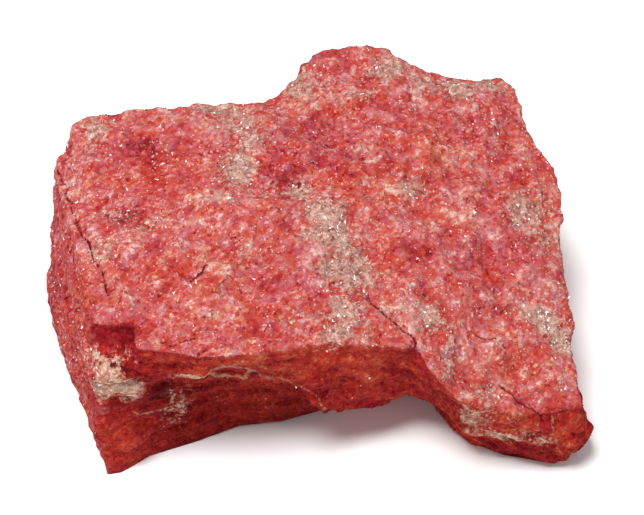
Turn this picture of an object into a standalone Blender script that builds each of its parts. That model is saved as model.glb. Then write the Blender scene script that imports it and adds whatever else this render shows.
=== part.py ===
"""Thulite specimen: one hand-sized block of broken pink rock, lying on its flattest break.

The block is read as five closed outlines, stacked from the rim of its top face to its foot.
A box is subdivided into a grid, and each of its points is moved on to the surface between those
outlines. Scoops, ledges and the lie of the top are then added by formulas, and two open cracks
are cut into the top.
Units are metres, +Z is up, and the origin is the centre of the footprint on the table.
"""

import math

import bmesh
import bpy
import numpy as np
from mathutils import Vector

MM = 0.001

# Driving dimensions of the whole block, in millimetres
LENGTH = 75.0
DEPTH = 55.0
HEIGHT = 29.0

# Each outline runs once round the block, from the left past the front, and gives x, y and z in
# millimetres at every corner that the broken edge turns.
RIM = (
    (-35.1, 8.2, 22.0), (-33.6, 3.0, 23.2), (-31.6, -4.4, 24.2), (-30.2, -10.6, 24.8),
    (-28.9, -16.6, 25.0), (-28.0, -20.4, 25.0), (-22.8, -20.9, 25.2), (-22.3, -24.8, 25.3),
    (-13.6, -26.0, 25.0), (-8.6, -25.3, 24.6), (-1.6, -23.7, 24.2), (2.2, -22.7, 24.0),
    (7.4, -22.8, 23.4), (13.2, -22.1, 22.2), (15.1, -24.3, 21.0), (17.0, -26.5, 19.5),
    (18.7, -27.3, 17.8), (22.4, -27.3, 15.4), (27.0, -26.8, 13.6), (31.0, -25.6, 12.6),
    (35.5, -24.3, 12.0), (34.6, -19.4, 14.0), (34.0, -15.2, 15.5), (35.0, -13.7, 16.0),
    (34.2, -10.8, 17.0), (33.3, -5.4, 18.5), (33.4, -1.5, 19.5), (34.0, 3.0, 20.5),
    (33.6, 7.1, 21.5), (32.7, 9.9, 22.0), (29.9, 15.0, 23.0), (28.3, 20.4, 24.0),
    (27.7, 22.8, 24.0), (25.8, 23.7, 24.5), (23.3, 22.5, 25.0), (19.1, 22.6, 25.5),
    (14.9, 23.7, 26.0), (12.1, 24.8, 27.0), (10.2, 26.3, 27.5), (5.1, 26.0, 28.0),
    (1.4, 25.2, 28.2), (-1.0, 23.0, 28.0), (-2.6, 20.6, 27.5), (-4.1, 18.4, 27.0),
    (-6.7, 17.0, 26.6), (-17.0, 16.6, 26.5), (-22.5, 16.3, 26.5), (-27.2, 15.2, 26.4),
    (-31.0, 15.0, 26.0), (-32.6, 13.1, 25.8), (-32.9, 11.0, 24.6), (-35.2, 9.9, 22.4),
)
LIP = (
    (-35.8, 7.0, 15.0), (-35.8, 0.5, 15.0), (-33.8, -8.0, 16.0), (-30.8, -17.0, 18.0),
    (-28.4, -25.2, 20.0), (-23.6, -25.3, 20.5), (-20.0, -25.2, 18.4), (-15.9, -24.6, 18.0),
    (-8.0, -24.2, 17.5), (-3.0, -24.1, 16.3), (-0.4, -24.5, 12.6), (1.6, -24.8, 10.2),
    (4.3, -22.9, 9.6), (8.3, -22.0, 8.4), (12.9, -20.7, 9.2), (15.6, -21.3, 8.9),
    (17.6, -22.8, 8.4), (19.8, -24.8, 7.2), (24.8, -26.4, 8.0), (31.5, -27.2, 7.2),
    (35.0, -26.9, 6.4), (37.2, -24.2, 7.2), (34.6, -17.6, 9.0), (34.2, -8.0, 11.0),
    (33.0, 3.0, 13.2), (33.8, 12.0, 14.0), (30.8, 21.0, 15.0), (26.4, 26.0, 16.0),
    (16.0, 26.4, 17.0), (8.0, 27.2, 18.0), (0.0, 26.4, 18.0), (-5.0, 20.8, 18.0),
    (-12.0, 18.8, 18.0), (-24.0, 18.4, 18.0), (-33.0, 17.6, 17.0), (-35.2, 14.0, 15.0),
)
NOOK = (
    (-36.4, 7.0, 12.2), (-36.2, 0.0, 11.8), (-34.4, -8.0, 12.4), (-31.2, -17.0, 14.4),
    (-28.2, -24.8, 18.6), (-22.8, -23.4, 18.2), (-19.0, -22.3, 16.8), (-15.2, -21.7, 16.3),
    (-7.6, -21.0, 15.8), (-3.0, -20.5, 14.8), (0.0, -20.7, 12.0), (2.4, -20.7, 9.8),
    (4.3, -19.9, 8.0), (8.0, -18.9, 7.2), (12.4, -17.9, 7.4), (15.2, -18.9, 6.6),
    (17.5, -20.6, 6.4), (20.0, -24.0, 6.0), (24.8, -25.7, 6.6), (31.5, -26.6, 5.6),
    (35.0, -26.4, 4.9), (37.2, -23.9, 5.6), (34.7, -16.6, 7.8), (34.5, -7.0, 9.4),
    (33.0, 4.0, 11.0), (33.8, 13.0, 12.0), (30.8, 21.6, 13.0), (26.0, 26.2, 13.6),
    (15.0, 26.7, 14.6), (7.0, 27.1, 15.4), (-2.0, 25.8, 15.4), (-12.0, 20.0, 15.4),
    (-24.0, 19.2, 15.4), (-33.4, 17.9, 14.4), (-36.2, 13.6, 12.8),
)
BELLY = (
    (-37.0, 8.0, 6.0), (-37.1, 2.0, 5.6), (-35.8, -3.6, 5.2), (-34.5, -8.4, 5.0),
    (-32.9, -13.5, 5.0), (-31.1, -18.6, 6.0), (-28.4, -26.0, 9.0), (-24.0, -24.8, 9.4),
    (-17.0, -22.3, 9.0), (-9.0, -20.4, 8.4), (-2.0, -19.2, 7.4), (4.0, -18.2, 5.4),
    (11.0, -16.6, 4.6), (14.4, -16.4, 4.6), (17.0, -18.4, 4.4), (21.0, -23.2, 4.0),
    (27.0, -24.9, 3.8), (33.6, -26.0, 3.4), (37.5, -22.6, 4.0), (35.0, -14.4, 5.0),
    (34.8, -5.0, 6.0), (33.4, 6.0, 7.0), (34.4, 14.0, 7.5), (31.2, 22.5, 8.0),
    (24.6, 26.4, 8.0), (12.0, 27.3, 9.0), (2.0, 27.0, 9.0), (-8.0, 23.0, 9.0),
    (-20.0, 21.2, 9.0), (-30.0, 20.2, 9.0), (-35.8, 17.0, 8.0),
)
FOOT = (
    (-36.4, 8.0, 0.6), (-36.2, 0.0, 0.9), (-34.9, -6.6, 0.7), (-32.4, -13.0, 0.4),
    (-29.3, -19.6, 0.0), (-27.5, -27.0, 0.0), (-25.4, -26.6, 0.0), (-22.1, -24.0, 0.0),
    (-16.1, -21.7, 0.0), (-10.0, -19.2, 0.4), (-4.0, -18.6, 0.7), (3.0, -16.4, 1.0),
    (10.0, -14.2, 1.1), (14.6, -14.2, 0.9), (17.2, -16.4, 0.6), (19.2, -19.2, 0.2),
    (21.2, -21.6, 0.0), (26.0, -23.8, 0.0), (32.6, -25.2, 0.0), (35.9, -22.6, 0.4),
    (34.8, -14.0, 0.0), (34.4, -4.0, 0.6), (33.2, 7.0, 0.0), (32.0, 15.0, 0.0),
    (26.0, 22.0, 0.0), (18.0, 25.2, 0.0), (8.0, 26.2, 0.0), (-4.0, 23.8, 0.0),
    (-14.0, 21.0, 0.0), (-26.0, 20.0, 0.0), (-34.0, 16.4, 0.0),
)
# How far down the side each outline lies, in rows of the grid of the side
SIDE_ROWS = 16
LEVELS = ((RIM, 0), (LIP, 5), (NOOK, 7), (BELLY, 11), (FOOT, 16))
TOP_CELLS = 32
ANGLE_SPAN = 9
# Where the rings of the top and of the foot close, seen from which no outline turns back
CENTRE = (8.0, 4.0)

# Relief of the broken faces, in millimetres: height, spacing and seed of each set of scoops
BROAD_SCOOPS = (1.0, 11.0, 3)
SMALL_SCOOPS = (0.5, 4.6, 8)
SIDE_SHARE = 0.55
RIM_SHARE = 0.25
LEDGE_STEP = 0.8
LEDGE_THICKNESS = 3.4
LEDGE_WANDER = 9.0
HOLLOW_RISE = 2.2
HOLLOW_SPACING = 11.0
HOLLOW_LIMIT = 0.4
FLAT_SHARE = 0.72

# Open cracks in the top face: the points along each, in millimetres from the middle
CRACK_BESIDE_STEP = ((6.2, -15.4), (8.1, -17.3), (9.7, -18.2), (11.9, -20.3), (13.6, -22.6))
CRACK_OF_LEFT_SLAB = ((-33.2, 2.6), (-31.8, -1.3), (-30.1, -6.6), (-28.4, -10.4), (-26.3, -16.4))
CRACKS = {"crack_beside_step": CRACK_BESIDE_STEP, "crack_of_left_slab": CRACK_OF_LEFT_SLAB}
CRACK_WIDTH = 0.8
CRACK_DEPTH = 1.3
CRACK_TIP_WIDTH = 0.25
BLADE_ABOVE = 1.5
BLADE_OVERLAP = 0.4

STONE_COLOUR = (0.56, 0.085, 0.075, 1.0)
STONE_ROUGHNESS = 0.6


def lattice_random(cells, seed):
    """One number from 0 to 1 for each whole-number cell of a lattice, the same on every run."""
    cells = cells.astype(np.int64)
    mixed = cells[:, 0] * 73856093 ^ cells[:, 1] * 19349663 ^ cells[:, 2] * 83492791 ^ seed * 2654435761
    mixed &= 0xFFFFFFFF
    for _ in range(2):
        mixed = ((mixed ^ mixed >> 16) * 0x45D9F3B) & 0xFFFFFFFF
    return (mixed ^ mixed >> 16) / 0xFFFFFFFF


def smooth_noise(points, spacing, seed):
    """Random values at the corners of a lattice, eased between them. Runs from -1 to 1."""
    scaled = points / spacing
    base = np.floor(scaled)
    part = scaled - base
    eased = part * part * (3 - 2 * part)
    total = np.zeros(len(points))
    for corner in np.ndindex(2, 2, 2):
        weight = np.where(corner, eased, 1 - eased).prod(axis=1)
        total += weight * lattice_random(base + corner, seed)
    return 2 * total - 1


def scoops(points, spacing, seed):
    """A tilted bowl in every cell of a jittered lattice. At each point the lowest bowl wins, so the
    bowls meet in crisp ridges, as where flakes have come away. Runs from about -1 to 1."""
    scaled = points / spacing
    base = np.floor(scaled)
    lowest = np.full(len(points), np.inf)
    for step in np.ndindex(3, 3, 3):
        cell = base + step - 1
        random = np.stack([lattice_random(cell, seed + k) for k in range(7)], axis=1)
        away = scaled - cell - random[:, :3]
        tilt = (away * (random[:, 3:6] - 0.5)).sum(axis=1)
        lowest = np.minimum(lowest, (away**2).sum(axis=1) + tilt + 0.5 * random[:, 6])
    return 2 * lowest - 1


def ease(value, start, end):
    """0 before start, 1 after end, and a smooth rise between."""
    share = np.clip((value - start) / (end - start), 0, 1)
    return share * share * (3 - 2 * share)


def rim_columns(count):
    """The rim's point in each of count columns. Whole cells go to each stretch by its length, so
    every corner of the rim has a column of its own."""
    corners = np.array(RIM + RIM[:1])
    lengths = np.linalg.norm(np.diff(corners, axis=0), axis=1)
    share = lengths / lengths.sum() * (count - len(lengths))
    cells = 1 + np.floor(share)
    spare = int(count - cells.sum())
    cells[np.argsort(np.floor(share) - share)[:spare]] += 1
    at = np.interp(np.arange(count), np.append(0, np.cumsum(cells)), np.arange(len(corners)))
    return np.stack([np.interp(at, np.arange(len(corners)), c) for c in corners.T], axis=1)


def even_angles(angles):
    """Plan angles of the columns, each averaged with its neighbours so that no two crowd together."""
    laps = np.concatenate([angles - math.tau, angles, angles + math.tau])
    mean = np.convolve(laps, np.ones(ANGLE_SPAN) / ANGLE_SPAN, "same")
    return mean[len(angles) : 2 * len(angles)]


def outline_at(outline, angles):
    """The outline's point at each plan angle: where the ray from the middle crosses its side."""
    corners = np.array(outline) - (*CENTRE, 0)
    turned = np.unwrap(np.arctan2(corners[:, 1], corners[:, 0]))
    wanted = turned[0] + (angles - turned[0]) % math.tau
    first = np.searchsorted(turned, wanted, side="right") - 1
    start = corners[first]
    side = corners[(first + 1) % len(corners)] - start
    ray = np.stack([np.cos(wanted), np.sin(wanted)], axis=1)
    share = -np.cross(start[:, :2], ray) / np.cross(side[:, :2], ray)
    return start + side * share[:, None] + (*CENTRE, 0)


def lie_of_top(x, y):
    """Height of the top face at large: the quadratic surface that fits the rim best."""

    def terms(x, y):
        return np.stack([np.ones_like(x), x, y, x * x, x * y, y * y], axis=-1)

    rim = np.array(RIM)
    weights = np.linalg.lstsq(terms(rim[:, 0], rim[:, 1]), rim[:, 2], rcond=None)[0]
    return terms(np.asarray(x, float), np.asarray(y, float)) @ weights


def box_grid(name):
    """A closed box from -1 to 1, its top and foot cut into a square grid and its sides into rows."""
    box = bmesh.new()
    bmesh.ops.create_cube(box, size=2)
    for upright, cells in ((False, TOP_CELLS), (True, SIDE_ROWS)):
        edges = [edge for edge in box.edges if is_upright(edge) == upright]
        bmesh.ops.subdivide_edges(box, edges=edges, cuts=cells - 1, use_grid_fill=True)
    mesh = bpy.data.meshes.new(name)
    box.to_mesh(mesh)
    box.free()
    return mesh


def is_upright(edge):
    low, high = edge.verts
    return abs(low.co.z - high.co.z) > 1


def place_on_box(box):
    """For each point of the box: its share of the way from the middle of the top or foot to the
    edge, its rim point, the plan angle of that and its evened-out angle, and its row down the side."""
    a, b, c = np.round(box, 6).T
    ring = np.maximum(abs(a), abs(b))
    reach = np.maximum(ring, 1e-9)
    a, b = np.round(a / reach, 6), np.round(b / reach, 6)
    left = (a == -1) & (b <= 0)
    lap = np.select([left, b == -1, a == 1, b == 1], [-b, 2 + a, 4 + b, 6 - a], 8 - b)
    rim = rim_columns(4 * TOP_CELLS)
    angle = np.unwrap(np.arctan2(rim[:, 1] - CENTRE[1], rim[:, 0] - CENTRE[0]))
    columns = np.column_stack([rim, angle, even_angles(angle)])
    columns = np.vstack([columns, columns[0] + (0, 0, 0, math.tau, math.tau)])
    at = lap % 8 / 8 * (len(columns) - 1)
    placed = np.stack([np.interp(at, np.arange(len(columns)), column) for column in columns.T])
    return ring, placed[:3].T, placed[3], placed[4], (1 - c) / 2 * SIDE_ROWS


def stone_points(ring, rim, angle, even, row):
    """The smooth stone: between the outlines on the side, and over the top and foot a surface that
    runs from the middle out to the rim or the foot."""
    inside = outline_at(RIM, even + (angle - even) * ring**6)
    rim = np.where(ring[:, None] == 1, rim, inside)
    outlines = np.stack([rim] + [outline_at(outline, even) for outline, _ in LEVELS[1:]])
    rows = np.array([level for _, level in LEVELS])
    upper = np.clip(np.searchsorted(rows, row, side="right") - 1, 0, len(rows) - 2)
    share = ((row - rows[upper]) / (rows[upper + 1] - rows[upper]))[:, None]
    each = np.arange(len(row))
    points = outlines[upper, each] * (1 - share) + outlines[upper + 1, each] * share
    points[:, :2] = CENTRE + (points[:, :2] - CENTRE) * ring[:, None]
    x, y, z = points.T
    bend = rim[:, 2] - lie_of_top(rim[:, 0], rim[:, 1])
    top = lie_of_top(x, y) + bend * ring**4
    flat = points * (1, 1, 0)
    hollow = HOLLOW_RISE * np.maximum(0, smooth_noise(flat, HOLLOW_SPACING, 5) - HOLLOW_LIMIT)
    outside = ease(ring, FLAT_SHARE, 1)
    foot = z * outside + hollow * (1 - outside)
    points[:, 2] = np.where(row == 0, top, np.where(row == SIDE_ROWS, foot, z))
    return points


def relief(points, ring, row):
    """How far each point moves out along its normal: scoops everywhere but on the foot, less of
    them at the rim, and on the sides the layers that the stone splits into."""
    height = np.zeros(len(points))
    for size, spacing, seed in (BROAD_SCOOPS, SMALL_SCOOPS):
        bowls = scoops(points, spacing, seed)
        height += size * (bowls - bowls.mean())
    on_top = RIM_SHARE + (1 - RIM_SHARE) * (1 - ring**8)
    on_side = RIM_SHARE + (SIDE_SHARE - RIM_SHARE) * ease(row, 0, 2)
    on_side = on_side * (1 - ease(row, SIDE_ROWS - 3, SIDE_ROWS))
    under_top = lie_of_top(points[:, 0], points[:, 1]) - points[:, 2]
    layers = under_top / LEDGE_THICKNESS + 0.5 * smooth_noise(points, LEDGE_WANDER, 31)
    ledge = LEDGE_STEP * (0.5 - layers % 1) * ease(row, 0, 2) * (1 - ease(row, 13, SIDE_ROWS))
    side = height * on_side + ledge
    return np.where(row == 0, height * on_top, np.where(ring < 1, 0, side))


def build_stone(name):
    """The closed stone, at its driving dimensions and with the middle of its footprint at 0."""
    mesh = box_grid(name)
    box = np.empty(len(mesh.vertices) * 3)
    mesh.vertices.foreach_get("co", box)
    ring, rim, angle, even, row = place_on_box(box.reshape(-1, 3))
    points = stone_points(ring, rim, angle, even, row)
    mesh.vertices.foreach_set("co", points.ravel())
    mesh.update()
    normals = np.empty(len(points) * 3)
    mesh.vertex_normals.foreach_get("vector", normals)
    points += normals.reshape(-1, 3) * relief(points, ring, row)[:, None]
    low, high = points.min(axis=0), points.max(axis=0)
    points[:, :2] -= (low[:2] + high[:2]) / 2
    points *= np.array((LENGTH, DEPTH, HEIGHT)) / (high - low) * MM
    mesh.vertices.foreach_set("co", points.ravel())
    mesh.update()
    stone = bpy.data.objects.new(name, mesh)
    bpy.context.scene.collection.objects.link(stone)
    return stone


def height_of_top(stone, x, y):
    """Height of the stone's top at a place given in millimetres."""
    found, place, _, _ = stone.ray_cast(Vector((x * MM, y * MM, 2 * HEIGHT * MM)), Vector((0, 0, -1)))
    if not found:
        raise RuntimeError(f"no stone under {x}, {y}")
    return place.z / MM


def add_blade(stone, name, start, end, cutters):
    """A wedge along one stretch of a crack, from above the top down to the crack's tip."""
    run = Vector(end) - Vector(start)
    ahead = run.normalized()
    across = Vector((-ahead.y, ahead.x))
    spread = (CRACK_WIDTH - CRACK_TIP_WIDTH) / 2 * (CRACK_DEPTH + BLADE_ABOVE) / CRACK_DEPTH
    wedge = bmesh.new()
    bmesh.ops.create_cube(wedge, size=2)
    for corner in wedge.verts:
        end_here = Vector(start) if corner.co.x < 0 else Vector(end)
        surface = height_of_top(stone, *end_here)
        above = corner.co.z > 0
        half = CRACK_TIP_WIDTH / 2 + (spread if above else 0)
        place = end_here + ahead * corner.co.x * BLADE_OVERLAP + across * corner.co.y * half
        z = surface + (BLADE_ABOVE if above else -CRACK_DEPTH)
        corner.co = Vector((place.x, place.y, z)) * MM
    mesh = bpy.data.meshes.new(name)
    wedge.to_mesh(mesh)
    wedge.free()
    blade = bpy.data.objects.new(name, mesh)
    blade.hide_render = True
    blade.display_type = "WIRE"
    cutters.objects.link(blade)


def cut_cracks(stone):
    cutters = bpy.data.collections.new("crack_cutters")
    bpy.context.scene.collection.children.link(cutters)
    for name, line in CRACKS.items():
        for number, (start, end) in enumerate(zip(line, line[1:])):
            add_blade(stone, f"{name}_{number}", start, end, cutters)
    cut = stone.modifiers.new("cracks", "BOOLEAN")
    cut.operation = "DIFFERENCE"
    cut.solver = "EXACT"
    cut.operand_type = "COLLECTION"
    cut.collection = cutters


def stone_material():
    material = bpy.data.materials.new("thulite")
    material.use_nodes = True
    shader = material.node_tree.nodes["Principled BSDF"]
    shader.inputs["Base Color"].default_value = STONE_COLOUR
    shader.inputs["Roughness"].default_value = STONE_ROUGHNESS
    return material


def main():
    for item in list(bpy.data.objects):
        bpy.data.objects.remove(item, do_unlink=True)
    bpy.context.scene.unit_settings.system = "METRIC"
    stone = build_stone("thulite_block")
    bpy.context.view_layer.update()
    stone.data.materials.append(stone_material())
    cut_cracks(stone)


if __name__ == "__main__":
    main()
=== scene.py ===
"""Thulite specimen: the looks of one hand-sized broken block of pink rock.

Laid out as an add-on. One operator makes the block's fine surface, one the crystals that stand out
of it, and one the floor, the light and the camera. Units are metres, and outlines and relief are in
millimetres until a mesh is written.
"""

import math
from functools import partial

import bpy
import numpy as np
from bpy.props import FloatProperty, FloatVectorProperty, IntProperty, PointerProperty
from bpy.types import Operator, Panel, PropertyGroup
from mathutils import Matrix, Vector


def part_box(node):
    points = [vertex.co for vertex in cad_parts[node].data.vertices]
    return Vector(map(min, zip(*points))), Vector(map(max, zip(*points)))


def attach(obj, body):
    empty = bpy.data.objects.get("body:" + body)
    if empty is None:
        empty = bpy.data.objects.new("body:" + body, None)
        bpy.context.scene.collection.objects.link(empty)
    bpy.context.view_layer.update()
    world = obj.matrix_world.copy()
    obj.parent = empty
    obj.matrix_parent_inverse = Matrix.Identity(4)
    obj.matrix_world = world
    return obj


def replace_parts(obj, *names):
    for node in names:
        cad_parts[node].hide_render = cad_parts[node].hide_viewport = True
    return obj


bl_info = {
    "name": "Thulite specimen",
    "version": (1, 0, 0),
    "blender": (4, 5, 0),
    "location": "View3D > Sidebar > Thulite",
    "description": "Builds a broken block of thulite rock with its grains, layers, cracks and quartz",
    "category": "Object",
}

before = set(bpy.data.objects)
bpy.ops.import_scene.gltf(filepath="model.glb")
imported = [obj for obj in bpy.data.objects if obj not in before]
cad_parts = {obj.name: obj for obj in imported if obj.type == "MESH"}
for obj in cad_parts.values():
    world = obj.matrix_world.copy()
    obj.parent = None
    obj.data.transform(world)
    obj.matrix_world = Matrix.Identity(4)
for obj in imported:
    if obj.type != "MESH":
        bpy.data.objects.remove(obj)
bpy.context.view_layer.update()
NODE = "thulite_block"
BODY = "root"
CAD_LOW, CAD_HIGH = (np.array(corner) * 1000 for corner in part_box(NODE))
MM = 0.001
# The lamp's place above the left front, and what the camera looks at
LAMP_AT = Vector((-0.2, -0.15, 0.96)).normalized() * 1.2
LOOK_AT = Vector((0.0012, 0, 0.013))

# Five outlines of the block from the rim of its top to its foot, in millimetres, each from the left
# past the front: the same values as the solid's, so that the two have one shape.
RIM = (
    (-35.1, 8.2, 22.0), (-33.6, 3.0, 23.2), (-31.6, -4.4, 24.2), (-30.2, -10.6, 24.8),
    (-28.9, -16.6, 25.0), (-28.0, -20.4, 25.0), (-22.8, -20.9, 25.2), (-22.3, -24.8, 25.3),
    (-13.6, -26.0, 25.0), (-8.6, -25.3, 24.6), (-1.6, -23.7, 24.2), (2.2, -22.7, 24.0),
    (7.4, -22.8, 23.4), (13.2, -22.1, 22.2), (15.1, -24.3, 21.0), (17.0, -26.5, 19.5),
    (18.7, -27.3, 17.8), (22.4, -27.3, 15.4), (27.0, -26.8, 13.6), (31.0, -25.6, 12.6),
    (35.5, -24.3, 12.0), (34.6, -19.4, 14.0), (34.0, -15.2, 15.5), (35.0, -13.7, 16.0),
    (34.2, -10.8, 17.0), (33.3, -5.4, 18.5), (33.4, -1.5, 19.5), (34.0, 3.0, 20.5),
    (33.6, 7.1, 21.5), (32.7, 9.9, 22.0), (29.9, 15.0, 23.0), (28.3, 20.4, 24.0),
    (27.7, 22.8, 24.0), (25.8, 23.7, 24.5), (23.3, 22.5, 25.0), (19.1, 22.6, 25.5),
    (14.9, 23.7, 26.0), (12.1, 24.8, 27.0), (10.2, 26.3, 27.5), (5.1, 26.0, 28.0),
    (1.4, 25.2, 28.2), (-1.0, 23.0, 28.0), (-2.6, 20.6, 27.5), (-4.1, 18.4, 27.0),
    (-6.7, 17.0, 26.6), (-17.0, 16.6, 26.5), (-22.5, 16.3, 26.5), (-27.2, 15.2, 26.4),
    (-31.0, 15.0, 26.0), (-32.6, 13.1, 25.8), (-32.9, 11.0, 24.6), (-35.2, 9.9, 22.4),
)
LIP = (
    (-35.8, 7.0, 15.0), (-35.8, 0.5, 15.0), (-33.8, -8.0, 16.0), (-30.8, -17.0, 18.0),
    (-28.4, -25.2, 20.0), (-23.6, -25.3, 20.5), (-20.0, -25.2, 18.4), (-15.9, -24.6, 18.0),
    (-8.0, -24.2, 17.5), (-3.0, -24.1, 16.3), (-0.4, -24.5, 12.6), (1.6, -24.8, 10.2),
    (4.3, -22.9, 9.6), (8.3, -22.0, 8.4), (12.9, -20.7, 9.2), (15.6, -21.3, 8.9),
    (17.6, -22.8, 8.4), (19.8, -24.8, 7.2), (24.8, -26.4, 8.0), (31.5, -27.2, 7.2),
    (35.0, -26.9, 6.4), (37.2, -24.2, 7.2), (34.6, -17.6, 9.0), (34.2, -8.0, 11.0),
    (33.0, 3.0, 13.2), (33.8, 12.0, 14.0), (30.8, 21.0, 15.0), (26.4, 26.0, 16.0),
    (16.0, 26.4, 17.0), (8.0, 27.2, 18.0), (0.0, 26.4, 18.0), (-5.0, 20.8, 18.0),
    (-12.0, 18.8, 18.0), (-24.0, 18.4, 18.0), (-33.0, 17.6, 17.0), (-35.2, 14.0, 15.0),
)
NOOK = (
    (-36.4, 7.0, 12.2), (-36.2, 0.0, 11.8), (-34.4, -8.0, 12.4), (-31.2, -17.0, 14.4),
    (-28.2, -24.8, 18.6), (-22.8, -23.4, 18.2), (-19.0, -22.3, 16.8), (-15.2, -21.7, 16.3),
    (-7.6, -21.0, 15.8), (-3.0, -20.5, 14.8), (0.0, -20.7, 12.0), (2.4, -20.7, 9.8),
    (4.3, -19.9, 8.0), (8.0, -18.9, 7.2), (12.4, -17.9, 7.4), (15.2, -18.9, 6.6),
    (17.5, -20.6, 6.4), (20.0, -24.0, 6.0), (24.8, -25.7, 6.6), (31.5, -26.6, 5.6),
    (35.0, -26.4, 4.9), (37.2, -23.9, 5.6), (34.7, -16.6, 7.8), (34.5, -7.0, 9.4),
    (33.0, 4.0, 11.0), (33.8, 13.0, 12.0), (30.8, 21.6, 13.0), (26.0, 26.2, 13.6),
    (15.0, 26.7, 14.6), (7.0, 27.1, 15.4), (-2.0, 25.8, 15.4), (-12.0, 20.0, 15.4),
    (-24.0, 19.2, 15.4), (-33.4, 17.9, 14.4), (-36.2, 13.6, 12.8),
)
BELLY = (
    (-37.0, 8.0, 6.0), (-37.1, 2.0, 5.6), (-35.8, -3.6, 5.2), (-34.5, -8.4, 5.0),
    (-32.9, -13.5, 5.0), (-31.1, -18.6, 6.0), (-28.4, -26.0, 9.0), (-24.0, -24.8, 9.4),
    (-17.0, -22.3, 9.0), (-9.0, -20.4, 8.4), (-2.0, -19.2, 7.4), (4.0, -18.2, 5.4),
    (11.0, -16.6, 4.6), (14.4, -16.4, 4.6), (17.0, -18.4, 4.4), (21.0, -23.2, 4.0),
    (27.0, -24.9, 3.8), (33.6, -26.0, 3.4), (37.5, -22.6, 4.0), (35.0, -14.4, 5.0),
    (34.8, -5.0, 6.0), (33.4, 6.0, 7.0), (34.4, 14.0, 7.5), (31.2, 22.5, 8.0),
    (24.6, 26.4, 8.0), (12.0, 27.3, 9.0), (2.0, 27.0, 9.0), (-8.0, 23.0, 9.0),
    (-20.0, 21.2, 9.0), (-30.0, 20.2, 9.0), (-35.8, 17.0, 8.0),
)
FOOT = (
    (-36.4, 8.0, 0.6), (-36.2, 0.0, 0.9), (-34.9, -6.6, 0.7), (-32.4, -13.0, 0.4),
    (-29.3, -19.6, 0.0), (-27.5, -27.0, 0.0), (-25.4, -26.6, 0.0), (-22.1, -24.0, 0.0),
    (-16.1, -21.7, 0.0), (-10.0, -19.2, 0.4), (-4.0, -18.6, 0.7), (3.0, -16.4, 1.0),
    (10.0, -14.2, 1.1), (14.6, -14.2, 0.9), (17.2, -16.4, 0.6), (19.2, -19.2, 0.2),
    (21.2, -21.6, 0.0), (26.0, -23.8, 0.0), (32.6, -25.2, 0.0), (35.9, -22.6, 0.4),
    (34.8, -14.0, 0.0), (34.4, -4.0, 0.6), (33.2, 7.0, 0.0), (32.0, 15.0, 0.0),
    (26.0, 22.0, 0.0), (18.0, 25.2, 0.0), (8.0, 26.2, 0.0), (-4.0, 23.8, 0.0),
    (-14.0, 21.0, 0.0), (-26.0, 20.0, 0.0), (-34.0, 16.4, 0.0),
)
# How far down the side each outline lies, as a share of the way
LEVELS = ((RIM, 0.0), (LIP, 5 / 16), (NOOK, 7 / 16), (BELLY, 11 / 16), (FOOT, 1.0))
# The middle of the outlines in plan, and the share of a lap over which the columns' angles are evened
CENTRE = np.array((8.0, 4.0))
ANGLE_SHARE = 9 / 128

# Relief in millimetres: height, spacing and seed of each set of scoops and of the foot's hollows
CAD_SCOOPS = ((1.0, 11.0, 3), (0.5, 4.6, 8))
FINE_SCOOPS = ((0.36, 2.4, 40), (0.22, 1.2, 60))
FOOT_HOLLOWS = (2.2, 11.0, 5)
# What noise makes uneven: how much, its spacing in millimetres, its seed and its octaves
NOISES = {
    "grit": (0.12, 0.9, 80, 2), "ledges": (0.5, 9.0, 31, 1), "layers": (0.7, 9.0, 90, 3),
    "layer step": (0.8, 7.0, 95, 1), "crack x": (0.3, 1.4, 120, 1), "crack y": (0.3, 1.4, 121, 1),
    "pits": (0.3, 0.8, 130, 1), "lines": (0.15, 0.8, 125, 1), "spots": (0.45, 2.6, 140, 3),
    "front edge": (1.6, 3.0, 150, 3), "recess edge": (0.03, 2.4, 160, 3),
}
# Step and thickness of the ledges that the solid has too, and of the thin layers between them
LEDGE_STEP, LEDGE_THICKNESS = 0.5, 3.4
LAYER_STEP, LAYER_THICKNESS = 0.2, 1.5
# Rows of the solid's side, the side's height, the length round it of one lap's unit, a crack's sloping
# edge, and a distance that is far off
SOLID_ROWS = 16
SIDE_HEIGHT = 26
LAP_LENGTH = 30
CRACK_EDGE = 0.3
FAR = 9.0


def hex_colour(text):
    """An sRGB hex value as linear red, green and blue, and 1: part / 12.92 where it is dark, and
    otherwise ((part + 0.055) / 1.055) ** 2.4."""
    parts = [int(text[i : i + 2], 16) / 255 for i in (0, 2, 4)]
    return (*(p / 12.92 if p <= 0.04045 else ((p + 0.055) / 1.055) ** 2.4 for p in parts), 1.0)


def lattice_random(cells, seed):
    """One number from 0 to 1 for each whole-number cell of a lattice: the cell's three numbers and
    the seed are multiplied by large primes, mixed bit by bit and cut to 32 bits."""
    cells = cells.astype(np.int64)
    mixed = cells[:, 0] * 73856093 ^ cells[:, 1] * 19349663 ^ cells[:, 2] * 83492791 ^ seed * 2654435761
    mixed &= 0xFFFFFFFF
    for _ in range(2):
        mixed = ((mixed ^ mixed >> 16) * 0x45D9F3B) & 0xFFFFFFFF
    return (mixed ^ mixed >> 16) / 0xFFFFFFFF


def smooth_noise(points, spacing, seed):
    """Random values at the corners of a lattice, eased between them by 3t^2 - 2t^3: from -1 to 1."""
    scaled = points / spacing
    base = np.floor(scaled)
    part = scaled - base
    eased = part * part * (3 - 2 * part)
    total = np.zeros(len(points))
    for corner in np.ndindex(2, 2, 2):
        weight = np.where(corner, eased, 1 - eased).prod(axis=1)
        total += weight * lattice_random(base + corner, seed)
    return 2 * total - 1


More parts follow.
